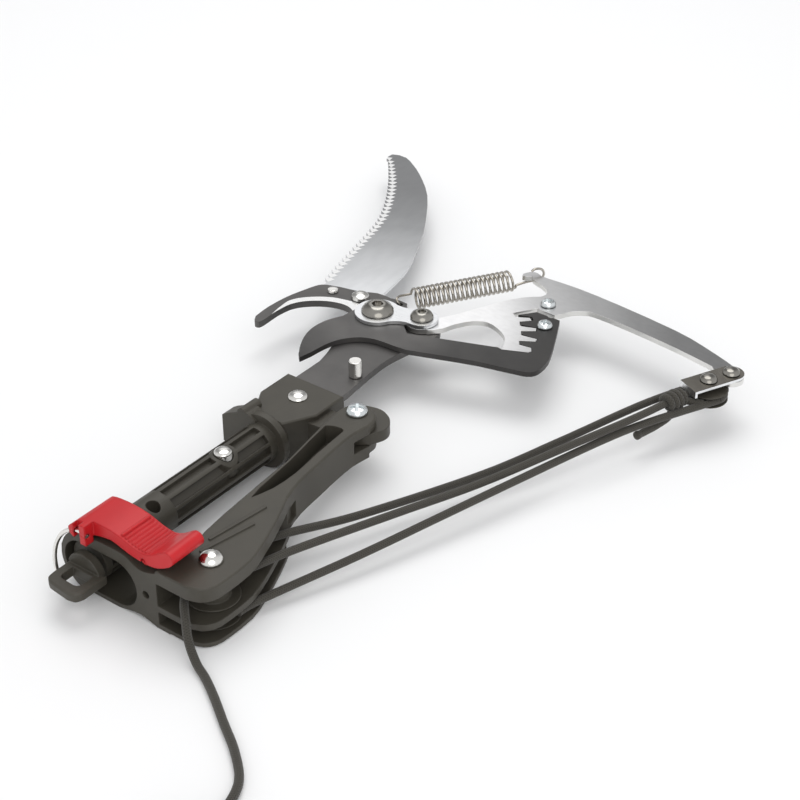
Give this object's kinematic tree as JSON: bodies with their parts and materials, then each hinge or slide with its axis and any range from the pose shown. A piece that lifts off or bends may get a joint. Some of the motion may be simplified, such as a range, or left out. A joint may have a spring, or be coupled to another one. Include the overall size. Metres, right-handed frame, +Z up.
{
  "type": "rope-operated tree pruner head with pole saw",
  "caption": "Rope-operated lopping head for a pole, with hooked anvil, geared cutting blade, return spring, bolt-on curved saw and a clamped rope guide.",
  "frame": {"origin": "centre of the object's box, without the free rope end and its coil, on the floor it lies on", "axes": "+Y along the pole axis towards the saw, +X towards the pull lever's end, +Z up from the floor"},
  "size_m": [0.3562, 0.5754, 0.0482],
  "materials": {
    "black_steel": "black baked coating, satin",
    "silver": "bright plated",
    "saw_steel": "satin ground",
    "nylon": "moulded, low sheen",
    "red": "moulded, satin gloss",
    "chrome": "nickel bright",
    "zinc": "zinc plated",
    "rope": "braided cord"
  },
  "bodies": {
    "head": {"adaptor_body": "nylon", "neck_rivet": "chrome", "snap_button_spring": "silver", "hook_plate": "black_steel", "stop_pin": "zinc", "saw_blade": "saw_steel", "saw_bolt": "zinc", "saw_bolt_nut": "zinc", "saw_locating_pin": "zinc", "blade_pivot_bolt": "silver", "lever_pivot_bolt": "silver", "blade_pivot_nut": "zinc", "lever_pivot_nut": "zinc", "link_plate": "silver", "guide_housing": "nylon", "arm_screw": "zinc", "arm_nut": "zinc", "sheave_rivet": "chrome", "clamp_lever_pin": "zinc", "pull_loop": "nylon", "rope_pull_end": "rope", "rope_coil": "rope"},
    "lever": {"pull_lever": "silver", "lever_screw": "zinc"},
    "blade": {"cutting_blade": "black_steel", "blade_screw": "zinc"},
    "shackle": {"shackle_strap": "silver", "shackle_axle": "zinc", "shackle_rivet": "zinc", "rope_knot": "rope", "rope_tail": "rope"},
    "lever_pulley": {"shackle_sheave": "nylon"},
    "upper_pulley": {"guide_sheave_upper": "nylon"},
    "lower_pulley": {"guide_sheave_lower": "nylon"},
    "rope_run": {"rope_strand_left": "rope", "rope_strand_middle": "rope", "rope_strand_right": "rope"},
    "spring": {"return_spring": "chrome"},
    "spring_end": {"return_spring_hook": "chrome"},
    "clamp": {"clamp_lever": "red"},
    "ring": {"split_ring": "chrome"},
    "button": {"snap_button": "chrome"}
  },
  "joints": [
    {"name": "lever_swing", "type": "hinge", "parent": "head", "child": "lever", "pos_m": [-0.00989, 0.05315, 0.0268], "axis": [0, 0, 1], "range_deg": [-56, 0], "deforming": ["return_spring", "return_spring_hook", "rope_strand_left", "rope_strand_middle", "rope_strand_right", "rope_knot", "rope_tail"]},
    {"name": "blade_swing", "type": "hinge", "parent": "head", "child": "blade", "pos_m": [-0.03409, 0.04375, 0.0268], "axis": [0, 0, 1], "range_deg": [-40.5, 0]},
    {"name": "shackle_pivot", "type": "hinge", "parent": "lever", "child": "shackle", "pos_m": [0.15611, 0.10755, 0.026], "axis": [0, 0, 1], "range_deg": [0, 39]},
    {"name": "lever_pulley_spin", "type": "hinge", "parent": "shackle", "child": "lever_pulley", "pos_m": [0.14981, 0.09415, 0.022], "axis": [0, 0, 1], "continuous": true},
    {"name": "upper_pulley_spin", "type": "hinge", "parent": "head", "child": "upper_pulley", "pos_m": [0.04621, -0.18375, 0.0204], "axis": [0, 0, 1], "continuous": true},
    {"name": "lower_pulley_spin", "type": "hinge", "parent": "head", "child": "lower_pulley", "pos_m": [0.04621, -0.18375, 0.0067], "axis": [0, 0, 1], "continuous": true},
    {"name": "rope_sway", "type": "hinge", "parent": "head", "child": "rope_run", "pos_m": [0.04971, -0.14625, 0.02], "axis": [0, 0, 1], "range_deg": [-17.6, 0]},
    {"name": "spring_swing", "type": "hinge", "parent": "head", "child": "spring", "pos_m": [-0.03409, 0.06475, 0.027], "axis": [0, 0, 1], "range_deg": [-48, 0]},
    {"name": "spring_stretch", "type": "slide", "parent": "spring", "child": "spring_end", "axis": [0.537, 0.8436, 0], "range_m": [0, 0.0218]},
    {"name": "clamp_press", "type": "hinge", "parent": "head", "child": "clamp", "pos_m": [0.02371, -0.19425, 0.0362], "axis": [0, 1, 0], "range_deg": [0, 3.5]},
    {"name": "ring_swing", "type": "hinge", "parent": "clamp", "child": "ring", "pos_m": [-0.01129, -0.20925, 0.039], "axis": [0, 1, 0], "range_deg": [-2, 3]},
    {"name": "button_press", "type": "slide", "parent": "head", "child": "button", "axis": [0, 0, 1], "range_m": [-0.003, 0], "stiffness_N_per_m": 400, "deforming": ["snap_button_spring"]}
  ],
  "couplings": [
    {"joint": "blade_swing", "follows": "lever_swing", "ratio": 0.72},
    {"joint": "shackle_pivot", "follows": "lever_swing", "ratio": -0.689},
    {"joint": "rope_sway", "follows": "lever_swing", "ratio": 0.311},
    {"joint": "spring_swing", "follows": "lever_swing", "ratio": 0.854},
    {"joint": "spring_stretch", "follows": "lever_swing", "m_per_rad": -0.0222}
  ]
}
